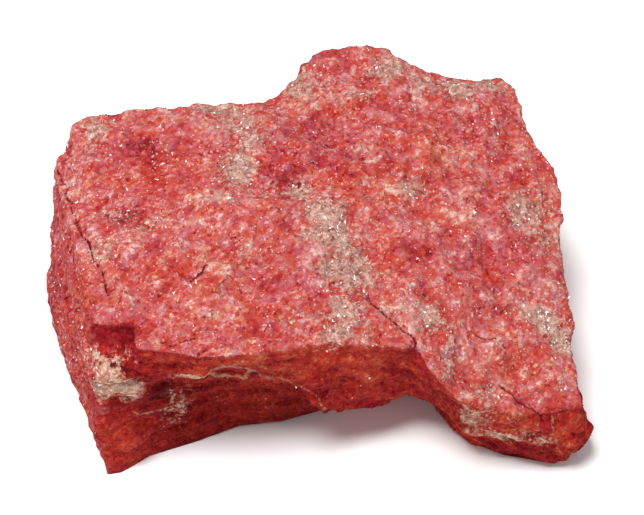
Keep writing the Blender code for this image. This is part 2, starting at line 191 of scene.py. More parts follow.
def rough_noise(points, name):
    """The noise of that name: smooth noise plus finer noise, each octave half the spacing and 0.55
    of the height."""
    amount, spacing, seed, octaves = NOISES[name]
    total = np.zeros(len(points))
    for k in range(octaves):
        total += 0.55**k * smooth_noise(points, spacing / 2**k, seed + 7 * k)
    return amount * total


def scoops(points, spacing, seed):
    """The lowest of the tilted bowls d^2 + t.d + h that sit in the cells of a jittered lattice, so
    that bowls meet in crisp ridges, as where flakes have come away. Runs from about -1 to 1."""
    scaled = points / spacing
    base = np.floor(scaled)
    lowest = np.full(len(points), np.inf)
    for step in np.ndindex(3, 3, 3):
        cell = base + step - 1
        random = np.stack([lattice_random(cell, seed + k) for k in range(7)], axis=1)
        away = scaled - cell - random[:, :3]
        tilt = (away * (random[:, 3:6] - 0.5)).sum(axis=1)
        lowest = np.minimum(lowest, (away**2).sum(axis=1) + tilt + 0.5 * random[:, 6])
    return 2 * lowest - 1


def ease(value, start, end):
    """0 before start, 1 after end, and 3t^2 - 2t^3 between."""
    share = np.clip((value - start) / (end - start), 0, 1)
    return share * share * (3 - 2 * share)


def even_angles(angles, span):
    """Each column's plan angle, averaged over the span columns round it, so that none crowd."""
    laps = np.concatenate([angles - math.tau, angles, angles + math.tau])
    mean = np.convolve(laps, np.ones(span) / span, "same")
    return mean[len(angles) : 2 * len(angles)]


def outline_at(outline, angles):
    """The outline's point at each plan angle: the ray c + s.d from the centre meets the side
    p + f.e where f = -(p x d) / (e x d)."""
    corners = np.array(outline) - (*CENTRE, 0)
    turned = np.unwrap(np.arctan2(corners[:, 1], corners[:, 0]))
    wanted = turned[0] + (angles - turned[0]) % math.tau
    first = np.searchsorted(turned, wanted, side="right") - 1
    start = corners[first]
    side = corners[(first + 1) % len(corners)] - start
    ray = np.stack([np.cos(wanted), np.sin(wanted)], axis=1)
    share = -np.cross(start[:, :2], ray) / np.cross(side[:, :2], ray)
    return start + side * share[:, None] + (*CENTRE, 0)


def lie_of_top(x, y):
    """Height of the top at large: a + bx + cy + dx^2 + exy + fy^2, fitted to the rim."""

    def terms(x, y):
        return np.stack([np.ones_like(x), x, y, x * x, x * y, y * y], axis=-1)

    rim = np.array(RIM)
    weights = np.linalg.lstsq(terms(rim[:, 0], rim[:, 1]), rim[:, 2], rcond=None)[0]
    return terms(x, y) @ weights


def rim_columns(count):
    """The rim's point in each of count columns. Whole cells go to each stretch by its length, so
    every corner of the rim has a column of its own."""
    corners = np.array(RIM + RIM[:1])
    lengths = np.linalg.norm(np.diff(corners, axis=0), axis=1)
    share = lengths / lengths.sum() * (count - len(lengths))
    cells = 1 + np.floor(share)
    spare = int(count - cells.sum())
    cells[np.argsort(np.floor(share) - share)[:spare]] += 1
    at = np.interp(np.arange(count), np.append(0, np.cumsum(cells)), np.arange(len(corners)))
    return np.stack([np.interp(at, np.arange(len(corners)), c) for c in corners.T], axis=1)


def sheet_grid(half, side_rows, foot_rings):
    """The block's two parameters on a grid: lap, from 0 to 8 half columns round the block, and way,
    from 0 at the middle of the top over 1 at the rim and 2 at the foot's edge to 3 at its middle.
    The top is a square lattice whose rings are laps, so its cells stay even. Returns lap, way, the
    quads and the fan of triangles that closes the foot."""
    columns = 8 * half
    i, j = (axis.ravel() for axis in np.meshgrid(*[np.arange(-half, half + 1)] * 2, indexing="ij"))
    ring = np.maximum(abs(i), abs(j))
    a, b = i / np.maximum(ring, 1), j / np.maximum(ring, 1)
    left = (a == -1) & (b <= 0)
    lap = np.select([left, b == -1, a == 1, b == 1], [-b, 2 + a, 4 + b, 6 - a], 8 - b) % 8
    side = 2 * half + 1
    at = np.arange(side * side).reshape(side, side)
    top = np.stack([at[:-1, :-1], at[1:, :-1], at[1:, 1:], at[:-1, 1:]], axis=-1).reshape(-1, 4)
    rim = np.nonzero(ring == half)[0]
    rim = rim[np.argsort(lap[rim])]
    below = side_rows + foot_rings - 1
    rest = side * side + np.arange(below * columns).reshape(below, columns)
    rows = np.vstack([rim, rest])
    after = np.roll(rows, -1, axis=1)
    walls = np.stack([rows[:-1], rows[1:], after[1:], after[:-1]], axis=-1).reshape(-1, 4)
    pole = side * side + below * columns
    last, last_after = rows[-1], after[-1]
    fan = np.stack([last, np.full(columns, pole), last_after], axis=-1)
    way_down = 1 + np.arange(1, side_rows + 1) / side_rows
    way_in = 2 + np.arange(1, foot_rings) / foot_rings
    way = np.concatenate([ring / half, np.repeat(np.append(way_down, way_in), columns), [3]])
    lap = np.concatenate([lap, np.tile(np.sort(lap[rim]), below), [0]])
    return lap, way, np.vstack([top, walls]), fan


def smooth_stone(lap, way, half):
    """The block before its relief. On the side it runs straight from outline to outline. On the top
    it is the lie of the top plus the rim's departure from that, times ring^4. The foot is flat but
    for a few hollows."""
    columns = 8 * half
    rim = rim_columns(columns)
    angle = np.unwrap(np.arctan2(rim[:, 1] - CENTRE[1], rim[:, 0] - CENTRE[0]))
    span = 2 * round(ANGLE_SHARE * columns / 2) + 1
    table = np.column_stack([rim, angle, even_angles(angle, span)])
    table = np.vstack([table, table[0] + (0, 0, 0, math.tau, math.tau)])
    placed = np.stack([np.interp(lap / 8 * columns, np.arange(len(table)), c) for c in table.T])
    rim, angle, even = placed[:3].T, placed[3], placed[4]
    ring = np.where(way < 1, way, np.where(way > 2, 3 - way, 1))
    down = np.clip(way - 1, 0, 1)
    inside = outline_at(RIM, even + (angle - even) * ring**6)
    rim = np.where(ring[:, None] == 1, rim, inside)
    outlines = np.stack([rim] + [outline_at(outline, even) for outline, _ in LEVELS[1:]])
    shares = np.array([share for _, share in LEVELS])
    upper = np.clip(np.searchsorted(shares, down, side="right") - 1, 0, len(shares) - 2)
    part = ((down - shares[upper]) / (shares[upper + 1] - shares[upper]))[:, None]
    each = np.arange(len(lap))
    points = outlines[upper, each] * (1 - part) + outlines[upper + 1, each] * part
    points[:, :2] = CENTRE + (points[:, :2] - CENTRE) * ring[:, None]
    x, y, z = points.T
    bend = rim[:, 2] - lie_of_top(rim[:, 0], rim[:, 1])
    top = lie_of_top(x, y) + bend * ring**4
    depth, spacing, seed = FOOT_HOLLOWS
    hollow = depth * np.maximum(0, smooth_noise(points * (1, 1, 0), spacing, seed) - 0.4)
    outside = ease(ring, 0.72, 1)
    foot = z * outside + hollow * (1 - outside)
    points[:, 2] = np.where(way <= 1, top, np.where(way >= 2, foot, z))
    return points


def surface_normals(points, quads, fan):
    """Each point's normal: the sum of the cross products of its faces' diagonals."""
    total = np.zeros_like(points)
    cross = np.cross(points[quads[:, 2]] - points[quads[:, 0]], points[quads[:, 3]] - points[quads[:, 1]])
    for corner in quads.T:
        np.add.at(total, corner, cross)
    cross = np.cross(points[fan[:, 1]] - points[fan[:, 0]], points[fan[:, 2]] - points[fan[:, 0]])
    for corner in fan.T:
        np.add.at(total, corner, cross)
    return total / np.maximum(np.linalg.norm(total, axis=1), 1e-12)[:, None]


# Marks on the block, in millimetres. Quartz: the middle, the half sizes and how strong it is
QUARTZ = (
    ((-1.4, -0.6, 27.4), (1.8, 2.0, 3.0), 0.7), ((0.8, -4.0, 27.4), (2.8, 2.6, 3.0), 0.9),
    ((2.8, -7.6, 27.0), (3.4, 3.0, 3.0), 1.0), ((4.4, -11.4, 26.2), (3.4, 3.0, 3.0), 1.0),
    ((4.8, -15.0, 25.2), (3.0, 2.8, 3.0), 0.9), ((4.4, -18.6, 25.0), (2.6, 2.8, 3.0), 0.8),
    ((4.2, -21.6, 24.0), (3.0, 1.6, 2.0), 0.7), ((-10.2, 3.2, 28.4), (2.4, 2.8, 3.0), 0.8),
    ((-9.4, 7.6, 28.4), (2.6, 3.0, 3.0), 0.7), ((-10.0, 12.4, 28.0), (3.6, 3.0, 3.0), 0.6),
    ((-13.0, 15.4, 27.2), (3.0, 1.6, 3.0), 0.7), ((-7.6, -1.0, 28.4), (2.6, 1.8, 3.0), 0.4),
    ((-30.0, 11.4, 25.6), (1.8, 2.4, 3.0), 0.7), ((-28.2, -8.8, 25.2), (1.9, 1.8, 3.0), 0.6),
    ((-26.6, -2.4, 25.6), (2.6, 1.6, 3.0), 0.5), ((10.6, 22.4, 27.8), (2.6, 2.6, 3.0), 0.7),
    ((15.4, 20.8, 26.6), (3.4, 1.6, 3.0), 0.6), ((-1.4, 18.6, 27.4), (3.2, 3.0, 3.0), 0.7),
    ((6.0, 16.6, 27.6), (2.8, 1.2, 3.0), 0.5), ((20.6, 20.4, 25.8), (3.4, 1.8, 3.0), 0.8),
    ((24.6, 21.4, 25.0), (2.4, 2.0, 3.0), 0.8), ((12.6, 1.8, 25.6), (2.6, 2.0, 3.0), 0.6),
    ((28.6, 1.2, 21.2), (3.8, 3.2, 3.0), 0.65), ((31.4, -2.2, 20.0), (2.6, 2.6, 3.0), 0.6),
    ((29.8, -14.4, 17.2), (4.6, 1.7, 3.0), 1.0), ((33.4, -16.4, 15.6), (2.2, 2.2, 3.0), 1.0),
    ((15.0, -17.0, 22.0), (2.6, 2.2, 3.0), 0.7), ((17.8, -23.4, 19.2), (1.3, 2.4, 3.0), 0.7),
    ((23.2, -24.4, 15.6), (2.4, 1.6, 2.0), 0.6), ((-12.0, -2.0, 28.3), (2.6, 1.6, 3.0), 0.4),
    ((-21.6, -5.4, 26.2), (2.0, 1.8, 3.0), 0.5), ((-9.6, -11.0, 26.6), (3.4, 2.0, 3.0), 0.4),
    ((-2.6, -20.4, 25.4), (3.6, 1.6, 2.0), 0.4), ((16.0, 10.4, 26.0), (2.0, 1.6, 3.0), 0.4),
    ((-26.2, -24.8, 17.8), (2.6, 3.2, 3.5), 1.3), ((-23.8, -25.0, 15.6), (1.6, 2.6, 1.8), 1.2),
    ((-15.4, -25.2, 19.4), (2.2, 2.0, 0.6), 0.8), ((-24.6, -23.8, 22.2), (3.0, 1.8, 0.8), 0.28),
    ((-17.8, -22.4, 9.8), (1.9, 2.4, 3.0), 0.38), ((-26.2, -24.2, 20.2), (2.5, 2.2, 1.7), 1.3),
    ((26.0, -26.4, 7.4), (5.0, 2.0, 1.6), 0.68), ((20.8, -26.2, 11.6), (2.0, 2.0, 3.8), 0.85),
    ((22.6, -26.6, 13.0), (2.2, 2.0, 1.6), 0.5), ((5.0, 27.0, 12.0), (7.0, 3.0, 2.2), 0.6),
    ((-20.0, 20.0, 16.0), (3.2, 3.0, 2.6), 0.7), ((36.0, 4.0, 9.0), (2.0, 5.0, 1.6), 0.6),
    ((-37.0, 2.0, 10.0), (2.0, 3.0, 1.4), 0.5),
)
# Where the rock is dark and where it is a clean orange red: the middle, in plan where it has only two
# numbers, the half sizes and how strong it is. The dark spots in plan are the rock's own darker patches; the
# four on the front are painted shade, in the hole below the chip, on the chip at the front left of the top,
# low on the right of the front near the foot, and in the notch under the lip.
DARK_AND_SHADE_SPOTS = (
    ((-4.6, 1.2), (4.0, 3.0), 0.9), ((-0.4, 4.4), (4.5, 3.0), 0.8), ((0.6, 9.0), (4.0, 3.4), 0.6),
    ((-25.6, -3.4), (3.2, 1.6), 0.8), ((-22.6, 8.6), (7.0, 3.4), 0.45), ((28.2, 6.6), (2.4, 2.0), 0.7),
    ((12.4, -8.6), (3.4, 2.2), 0.6), ((-19.0, 2.0), (2.4, 3.0), 0.4), ((18.0, 12.0), (3.6, 1.6), 0.4),
    ((16.6, 0.6), (2.0, 1.2), 0.7), ((-20.3, -23.4, 13.0), (1.3, 1.8, 1.5), 1.0),
    ((-25.2, -21.2, 23.9), (3.0, 2.2, 1.3), 1.0),
    ((25.0, -24.4, 2.2), (5.0, 3.0, 2.0), 0.7), ((14.4, -20.6, 6.0), (3.0, 3.0, 3.0), 0.6),
)
BRIGHT_SPOTS = (
    ((-19.6, 3.6), (8.0, 2.2), 0.7), ((7.0, 1.2), (6.0, 1.8), 0.7), ((16.4, 8.6), (4.4, 3.6), 0.8),
    ((-15.6, -13.6), (6.0, 4.0), 0.5), ((-10.0, -18.6), (9.0, 3.0), 0.5), ((-29.6, -12.6), (2.0, 5.0), 0.7),
    ((8.6, -16.0), (2.4, 1.4), 0.8), ((29.4, 5.0), (3.4, 2.4), 0.5), ((9.6, -9.4), (2.4, 3.4), 0.7),
    ((22.0, -23.0), (3.0, 2.4), 0.7), ((28.6, -21.4), (4.0, 2.6), 0.5), ((17.4, -1.6), (3.0, 1.4), 0.8),
    ((-10.0, -25.2, 22.6), (9.0, 2.0, 1.8), 0.8), ((-1.0, -24.0, 20.0), (6.0, 2.0, 3.0), 0.8),
    ((7.0, -22.6, 17.6), (6.0, 2.0, 4.0), 0.7), ((34.2, -26.2, 8.0), (2.8, 2.4, 4.0), 0.5),
    ((18.0, -26.6, 17.0), (3.0, 2.0, 2.4), 0.8), ((24.0, -27.0, 12.4), (5.0, 2.0, 3.0), 1.0),
    ((-26.4, -26.4, 3.0), (2.6, 2.4, 3.4), 0.35), ((-25.0, -26.0, 8.0), (3.0, 2.4, 3.0), 0.6),
    ((-24.6, -23.6, 22.0), (2.6, 1.8, 0.9), 0.4),
)
# Cracks in the top: points along each in plan, half width and depth
CRACKS = (
    (((-35.2, 8.4), (-33.6, 3.4), (-31.4, -3.0), (-29.4, -8.2), (-27.4, -13.0), (-26.0, -17.0)), 0.12, 0.6),
    (((-33.2, -2.4), (-32.0, -6.6), (-31.2, -11.0)), 0.06, 0.3),
    (((6.6, -15.2), (8.3, -17.0), (10.4, -18.5), (12.4, -20.4), (13.8, -22.2)), 0.1, 0.7),
    (((8.3, -20.2), (8.7, -22.2)), 0.06, 0.4),
    (((-15.9, -15.4), (-15.0, -14.4), (-14.4, -12.9), (-13.8, -12.5)), 0.12, 0.5),
    (((-19.6, -23.6), (-17.3, -24.1), (-15.7, -23.4), (-14.5, -22.8)), 0.07, 0.4),
    (((-15.2, -26.1), (-14.2, -25.6), (-13.4, -24.5)), 0.05, 0.3),
    (((24.2, -23.6), (26.7, -25.1), (28.4, -25.9), (30.6, -26.6)), 0.08, 0.5),
    (((20.8, -18.2), (22.3, -18.5), (24.5, -18.3), (25.4, -18.9), (26.8, -17.4)), 0.04, 0.3),
    (((0.8, 11.0), (2.2, 9.4)), 0.08, 0.4), (((-0.8, 3.8), (0.2, 2.2)), 0.08, 0.4),
)
# Thin lines on the front, seen from the front as x and z: cream edges of layers, where the lines along the
# lip from x = -17 to 1.6 are a painted highlight of its edge, and dark splits, as points along each and half
# width
CREAM_AND_HIGHLIGHT_LINES = (
    (((-17.2, 18.5), (-15.8, 19.2), (-14.5, 19.9), (-13.4, 19.6)), 0.2),
    (
        ((-13.6, 19.6), (-12.9, 20.9), (-11.2, 21.4), (-9.3, 20.9), (-8.0, 19.8), (-8.6, 18.6),
         (-10.6, 18.2), (-12.4, 18.4), (-13.6, 19.6)), 0.16,
    ),
    (
        ((-8.0, 19.8), (-7.2, 18.8), (-6.4, 18.4), (-5.3, 18.2), (-4.2, 17.8), (-3.2, 16.7),
         (-2.3, 15.7), (-1.4, 15.3), (-0.5, 14.4), (0.7, 12.8), (1.6, 10.8)), 0.0,
    ),
    (((-11.6, 22.4), (-9.8, 21.9), (-7.4, 21.6), (-5.6, 20.4)), 0.02),
    (((-23.5, 11.2), (-21.9, 9.8), (-20.1, 9.2)), 0.1),
    (((31.1, 13.0), (31.4, 11.3), (31.6, 9.9), (32.3, 6.8), (33.0, 3.4)), 0.0),
)
DARK_LINES = (
    (((-25.8, 21.1), (-24.2, 20.9), (-22.7, 20.6), (-21.6, 19.9), (-20.4, 18.9)), 0.14),
    (((31.1, 13.0), (32.7, 12.6), (34.4, 12.3), (36.0, 11.6)), 0.05),
)
# Pits: the middle in plan, radius and depth
PITS = (
    ((-26.4, -15.6), 0.75, 1.3), ((-21.9, -5.7), 0.7, 0.8), ((17.3, 2.0), 0.6, 0.8),
    ((17.8, -17.2), 0.6, 0.9), ((-25.0, -3.6), 0.9, 0.5), ((-4.2, 0.8), 0.9, 0.6),
    ((10.2, 14.6), 0.6, 0.6), ((13.0, -8.0), 0.8, 0.4), ((18.0, -18.8), 0.5, 0.7),
    ((24.2, -13.6), 0.5, 0.5),
)
# Rounded lumps on the front: the middle, radius and height
LUMPS = (
    ((-26.0, -24.8, 17.8), 4.2, 1.0), ((-23.4, -25.2, 15.8), 2.6, 0.9), ((-15.0, -25.4, 19.6), 3.0, 0.4),
    ((34.0, -26.2, 8.6), 3.2, 0.3),
)

# The marks that block_surface puts on the points, and each separate crystal's own tint
MARKS = (
    "quartz", "dark", "bright", "crack", "cream", "height", "side", "front", "recess", "layer", "tint",
)
# Widths of the three sizes of grain, as shares of the grain's own
GRAIN_WIDTHS = {"": 1.0, "fine ": 0.5, "coarse ": 2.6}
# How far the noise that bends the grains moves them, its spacing and the height of the crumbs, in
# millimetres, and the share of its pace across the layers at which a pattern changes along them
BEND, BEND_SPACING, CRUMB_HEIGHT, STRETCH = 0.3, 1 / 1.7, 0.2, 0.14
# The rock's gloss, low because most grains are rough broken faces
DULL = 0.04
# Uneven fields in the rock: where each is read, its spacing in millimetres and how much finer it goes
FIELDS = (
    ("crumbs", "bent", 0.75, 2.0), ("blush", "bent", 1.7, 2.0), ("stain", "place", 2.0, 2.0),
    ("tinge", "bent", 2.2, 2.0), ("patches", "place", 3.0, 3.0), ("wide blush", "place", 6.0, 2.0),
    ("regions", "place", 9.0, 2.0), ("streaks", "along", 1.1, 3.0),
)
# What the rock's colour follows, one value after another: an offset and the parts with their weights.
# A share of the surface also has the sum at which it starts, the sum at which it is whole, and its most.
VALUES = (
    ("pale grain", 0.0, {"third": 1.0}, (0.86, 0.95, 1.0)),
    ("dark grain", 0.0, {"third": 1.0}, (0.1, 0.05, 1.0)),
    (
        "rosy", -0.45,
        {"second": 0.5, "coarse second": 0.3, "blush": 0.9, "wide blush": 0.6, "bright": -0.3, "dark": 0.1},
        (0.45, 0.95, 1.0),
    ),
    ("wine", 0.0, {"stain": 1.0}, (0.48, 0.66, 0.36)),
    ("brown", 0.0, {"third": 0.15, "tinge": 1.0}, (0.68, 0.86, 0.6)),
    ("front brown", 0.0, {"third": 0.15, "tinge": 1.0}, (0.68, 0.86, 0.45)),
    ("most quartz", 1.0, {"front": -0.25}, None),
    (
        "vein", -1.1, {"quartz": 1.3, "second": 0.6, "fine first": 0.3, "patches": 0.3, "crumbs": 0.6},
        (0.1, 0.75, "most quartz"),
    ),
    ("warmth", 0.0, {"front": 0.5}, None),
    # shade: painted shade in the hollow under the lip
    ("shade", 0.0, {"recess": 0.68}, None),
    ("edge", 0.0, {"cream": 1.0, "first": 0.3}, (0.35, 0.1, 0.55)),
    ("split", 0.0, {"crack": 1.0, "fine first": 0.15}, (0.2, 0.05, 1.0)),
    # Grains that flash are smoother, and get a painted glint: a pale colour that is the same from every side
    ("flash", 0.0, {"fine third": 1.0, "quartz": 0.06, "front": -0.05}, (0.94, 1.0, 1.0)),
    ("pale flash", 0.0, {"flash": 0.5}, None),
    ("roughness", 0.55, {"fine second": 0.2, "flash": -0.5}, None),
    # Tone and depth follow the relief's height: paler on its rises and darker in its dips, a painted shade.
    # The tone is also darker on the sides, a painted shade.
    (
        "tone", -0.805,
        {"first": 0.32, "fine first": 0.14, "coarse first": 0.26, "patches": 0.86, "regions": 0.6,
         "crumbs": 0.55, "pale grain": 0.1, "dark grain": -0.16, "height": 0.3, "bright": 0.1,
         "dark": -0.3, "side": -0.14, "own tone": 1.0},
        None,
    ),
    (
        "depth", -0.55,
        {"streaks": 0.5, "first": 0.26, "fine first": 0.2, "patches": 0.4, "crumbs": 0.52, "height": 0.2,
         "dark": -0.36, "bright": 0.3, "own tone": 0.4},
        None,
    ),
    (
        "clearness", -0.68,
        {"first": 0.4, "fine second": 0.3, "coarse first": 0.3, "crumbs": 1.2, "front": 0.42},
        None,
    ),
)
# The value that each palette of the rock follows
PALETTE_VALUES = {"coral": "tone", "rose": "tone", "brown": "tone", "deep": "depth", "quartz": "clearness"}
# The palettes, from the darkest grains to the palest: shares of the way and sRGB hex values
PALETTES = {
    "rose": (
        (0.0, "8a2430"), (0.22, "b03e4a"), (0.46, "c55960"), (0.7, "d17e80"), (0.88, "dea6a4"),
        (1.0, "f0d0ca"),
    ),
    "coral": (
        (0.0, "901e18"), (0.22, "b8342b"), (0.46, "ca483c"), (0.7, "d5695a"), (0.88, "de9480"),
        (1.0, "f0c4ac"),
    ),
    "brown": ((0.0, "6c2c1c"), (0.4, "a45a38"), (0.75, "c08050"), (1.0, "d8ae84")),
    # The front's reds: partly its own deeper colour, partly painted shade
    "deep": (
        (0.0, "6a0c18"), (0.26, "8e1618"), (0.5, "ba2e26"), (0.72, "d04c34"), (0.9, "d4805a"),
        (1.0, "e6b08a"),
    ),
    "quartz": (
        (0.0, "8c5048"), (0.22, "ae746a"), (0.46, "c49688"), (0.72, "dab09e"), (0.9, "ecd0be"),
        (1.0, "fff6ee"),
    ),
    "glint": ((0.0, "c9958a"), (0.5, "dcc6b8"), (1.0, "fbf6f0")),
}
# Plain colours: wine red stains, the warm cast of quartz on the front, painted shade, deep red, in the
# hollow under the lip, and a painted glint, nearly white, on grains that flash
PLAIN_COLOURS = {"wine": "9c1c34", "warm": "f2dcb4", "hollow": "ac3648", "painted_glint": "f8d8d2"}
# What lies over each base, one layer after another: its share, its colour and how it is blended
LAYERS = {
    "deep": (("front brown", "brown", "MIX"), ("wine", "wine", "MIX")),
    "quartz": (("warmth", "warm", "MULTIPLY"),),
    "coral": (
        ("rosy", "rose", "MIX"), ("brown", "brown", "MIX"), ("front", "deep", "MIX"),
        # Over the coral: painted shade in the hollow under the lip, and a painted glint on grains that flash
        ("shade", "hollow", "MULTIPLY"), ("vein", "quartz", "MIX"), ("edge", "cream", "MIX"),
        ("pale flash", "painted_glint", "MIX"), ("split", "crack", "MIX"), ("all over", "light", "MULTIPLY"),
    ),
}


def line_distance(points, line):
    """Distance from each point to a line of several stretches: to the nearest point a + t.(b - a)
    of each, t from 0 to 1, and the least of these."""
    nearest = np.full(len(points), np.inf)
    for start, end in zip(np.array(line[:-1]), np.array(line[1:])):
        run = end - start
        share = np.clip(((points - start) @ run) / (run @ run), 0, 1)
        away = points - start - share[:, None] * run
        nearest = np.minimum(nearest, np.linalg.norm(away, axis=1))
    return nearest


def coarse_relief(points, way):
    """The solid's own relief: scoops, less of them at the rim, and on the sides a saw-tooth of the
    depth under the top, which gives the layers that the stone splits into."""
    height = np.zeros(len(points))
    for size, spacing, seed in CAD_SCOOPS:
        bowls = scoops(points, spacing, seed)
        height += size * (bowls - bowls.mean())
    row = SOLID_ROWS * (way - 1)
    fade = 1 - ease(row, SOLID_ROWS - 3, SOLID_ROWS)
    on_top = 0.25 + 0.75 * (1 - way**8)
    on_side = (0.25 + 0.3 * ease(row, 0, 2)) * fade
    under_top = lie_of_top(points[:, 0], points[:, 1]) - points[:, 2]
    layers = under_top / LEDGE_THICKNESS + rough_noise(points, "ledges")
    ledge = LEDGE_STEP * (0.5 - layers % 1) * ease(row, 0, 2) * fade
    return np.where(way <= 1, height * on_top, np.where(way >= 2, 0, height * on_side + ledge))


def fine_relief(points, lap, way):
    """Finer scoops and noise everywhere but on the foot, and on the sides thin layers: a saw-tooth
    of the way down that wanders, with its step varying along the block."""
    height = np.zeros(len(points))
    for size, spacing, seed in FINE_SCOOPS:
        bowls = scoops(points, spacing, seed)
        height += size * (bowls - bowls.mean())
    height += rough_noise(points, "grit")
    side = ease(way, 1.0, 1.04) * (1 - ease(way, 1.9, 2))
    down = (way - 1) * SIDE_HEIGHT
    along = np.stack([lap * LAP_LENGTH, down, np.zeros(len(lap))], axis=1)
    layers = down / LAYER_THICKNESS + rough_noise(along * (1, 0.5, 1), "layers")
    step = LAYER_STEP * np.clip(0.6 + rough_noise(along, "layer step"), 0, 1)
    thin = step * (0.5 - layers % 1)
    keep = np.where(way <= 1, 1 - 0.2 * way**12, 0.8 - 0.2 * side)
    return np.where(way >= 1.98, 0, height * keep + thin * side)


def cut_marks(points, way):
    """Cracks and pits in the top, as a drop: depth times 1 - d/w for a crack, w its half width and
    its edge, and 1 - (d/r)^2 for a pit, where noise bends d. Returns the drop and the distance to the
    edge of the nearest crack, which the material draws."""
    near_top = 1 - ease(way, 1.0, 1.12)
    drop = np.zeros(len(points))
    beside = np.full(len(points), FAR)
    shift = [rough_noise(points * (1, 1, 0), name) for name in ("crack x", "crack y")]
    moved = points[:, :2] + np.stack(shift, axis=1)
    for line, half, depth in CRACKS:
        away = line_distance(moved, line)
        beside = np.minimum(beside, away - half)
        drop = np.maximum(drop, depth * np.clip(1 - away / (half + CRACK_EDGE), 0, 1))
    for middle, radius, depth in PITS:
        away = np.linalg.norm(points[:, :2] - middle, axis=1) / radius
        away *= 1 + rough_noise(points, "pits")
        drop = np.maximum(drop, depth * np.clip(1 - away**2, 0, 1))
    return drop * near_top, np.where(way < 1.1, beside, FAR)


def front_lines(points, way, lines):
    """Distance to the edge of the nearest of the lines as seen from the front, where noise bends the
    line: the lines hold x and z, and count only on the front, from the rim to the foot."""
    flat = points[:, [0, 2]] + rough_noise(points, "lines")[:, None]
    nearest = np.full(len(points), FAR)
    for line, half in lines:
        nearest = np.minimum(nearest, line_distance(flat, line) - half)
    return np.where((points[:, 1] < -19) & (way > 0.99) & (way < 1.9), nearest, FAR)


def spots(points, marks):
    """How deep each point lies in the marks: for each, its strength times 1.25 - 3/4 of the distance
    in half sizes + a noise from -0.5 to 0.3, kept from 0 to 1, and the greatest of them. A mark with
    a middle in plan alone goes right through."""
    bend = np.clip(rough_noise(points, "spots"), -0.5, 0.3)
    most = np.zeros(len(points))
    for middle, half, strength in marks:
        count = len(middle)
        away = np.linalg.norm((points[:, :count] - middle) / half, axis=1)
        most = np.maximum(most, strength * np.clip(1.25 - 0.75 * away + bend, 0, 1))
    return most


def block_surface(half, side_rows, foot_rings, box_low, box_high):
    """The block's fine surface in millimetres: the smooth stone moved out along its normals by the
    coarse relief, fitted to the solid's box, moved out by the fine relief and the lumps, which are
    height times (1 - (d/r)^2)^2, and lowered at cracks and pits. Returns points, quads, the fan of
    the foot's middle, and the marks for colour."""
    lap, way, quads, fan = sheet_grid(half, side_rows, foot_rings)
    points = smooth_stone(lap, way, half)
    normals = surface_normals(points, quads, fan)
    points += normals * coarse_relief(points, way)[:, None]
    low, high = points.min(axis=0), points.max(axis=0)
    points[:, :2] -= (low[:2] + high[:2]) / 2
    points *= (box_high - box_low) / (high - low)
    normals = surface_normals(points, quads, fan)
    relief = fine_relief(points, lap, way)
    for middle, radius, height in LUMPS:
        away = ((points - middle) ** 2).sum(axis=1) / radius**2
        relief += height * np.clip(1 - away, 0, 1) ** 2
    drop, beside = cut_marks(points, way)
    points += normals * relief[:, None]
    points[:, 2] -= drop
    points = np.clip(points, box_low, box_high)

    # The front's deeper colour, partly its own and partly painted shade, starts at a ragged line near the
    # left edge. The recess is painted shade: it lies from the lip down, and from the lump of quartz to the
    # step in the front.
    ragged = points[:, 0] + rough_noise(points, "front edge")
    front = ease(-points[:, 1], 14, 20) * ease(way, 0.99, 1.02) * ease(ragged, -29.8, -27.2)
    down = way + rough_noise(points, "recess edge")
    recess = ease(down, 1.29, 1.33) * (0.7 + 0.3 * ease(down, 1.5, 1.9)) * ease(-points[:, 1], 14, 16)
    recess *= ease(ragged, -22.5, -18.5) * (1 - ease(ragged, 0.4, 2.4))
    marks = {
        "quartz": spots(points, QUARTZ),
        # dark: the rock's own dark patches, and painted shade in the chip, the hole, the notch and the foot
        # of the front, and where cracks and pits cut deeper
        "dark": np.clip(spots(points, DARK_AND_SHADE_SPOTS) + 0.5 * ease(drop, 0.1, 0.6), 0, 1),
        "bright": spots(points, BRIGHT_SPOTS),
        "crack": np.minimum(beside, front_lines(points, way, DARK_LINES)),
        "cream": front_lines(points, way, CREAM_AND_HIGHLIGHT_LINES),
        # height: the fine relief, which the material paints paler on rises and darker in dips, a painted
        # shade
        "height": np.clip(relief, -0.6, 0.6),
        # side: the walls, which the material paints darker, a painted shade
        "side": ease(way, 1.0, 1.05),
        "front": front,
        "recess": recess,
        "layer": (way - 1) * SIDE_HEIGHT,
        "tint": np.zeros(len(points)),
    }
    return points, quads, fan, marks


def mesh_from_arrays(name, points, faces, smooth):
    """A mesh written as whole arrays from points in millimetres and one array of faces for each
    number of corners."""
    mesh = bpy.data.meshes.new(name)
    sizes = np.concatenate([np.full(len(part), part.shape[1]) for part in faces])
    mesh.vertices.add(len(points))
    mesh.vertices.foreach_set("co", (points * MM).ravel())
    mesh.loops.add(int(sizes.sum()))
    mesh.loops.foreach_set("vertex_index", np.concatenate([part.ravel() for part in faces]).astype(np.int32))
    mesh.polygons.add(len(sizes))
    mesh.polygons.foreach_set("loop_start", (np.cumsum(sizes) - sizes).astype(np.int32))
    mesh.polygons.foreach_set("use_smooth", np.full(len(sizes), smooth))
    mesh.update(calc_edges=True)
    if mesh.validate():
        raise RuntimeError(name + " has faces that Blender had to mend")
    return mesh


def add_values(mesh, values):
    """Puts each array of numbers on the mesh's points under its name, for the materials."""
    for name, numbers in values.items():
        layer = mesh.attributes.new(name, "FLOAT", "POINT")
        layer.data.foreach_set("value", np.ascontiguousarray(numbers, np.float32))


def read_values(collection, name, width=1, kind=np.float32):
    """One property of every item of a mesh collection as an array."""
    values = np.empty(len(collection) * width, kind)
    collection.foreach_get(name, values)
    return values.reshape(-1, width) if width > 1 else values


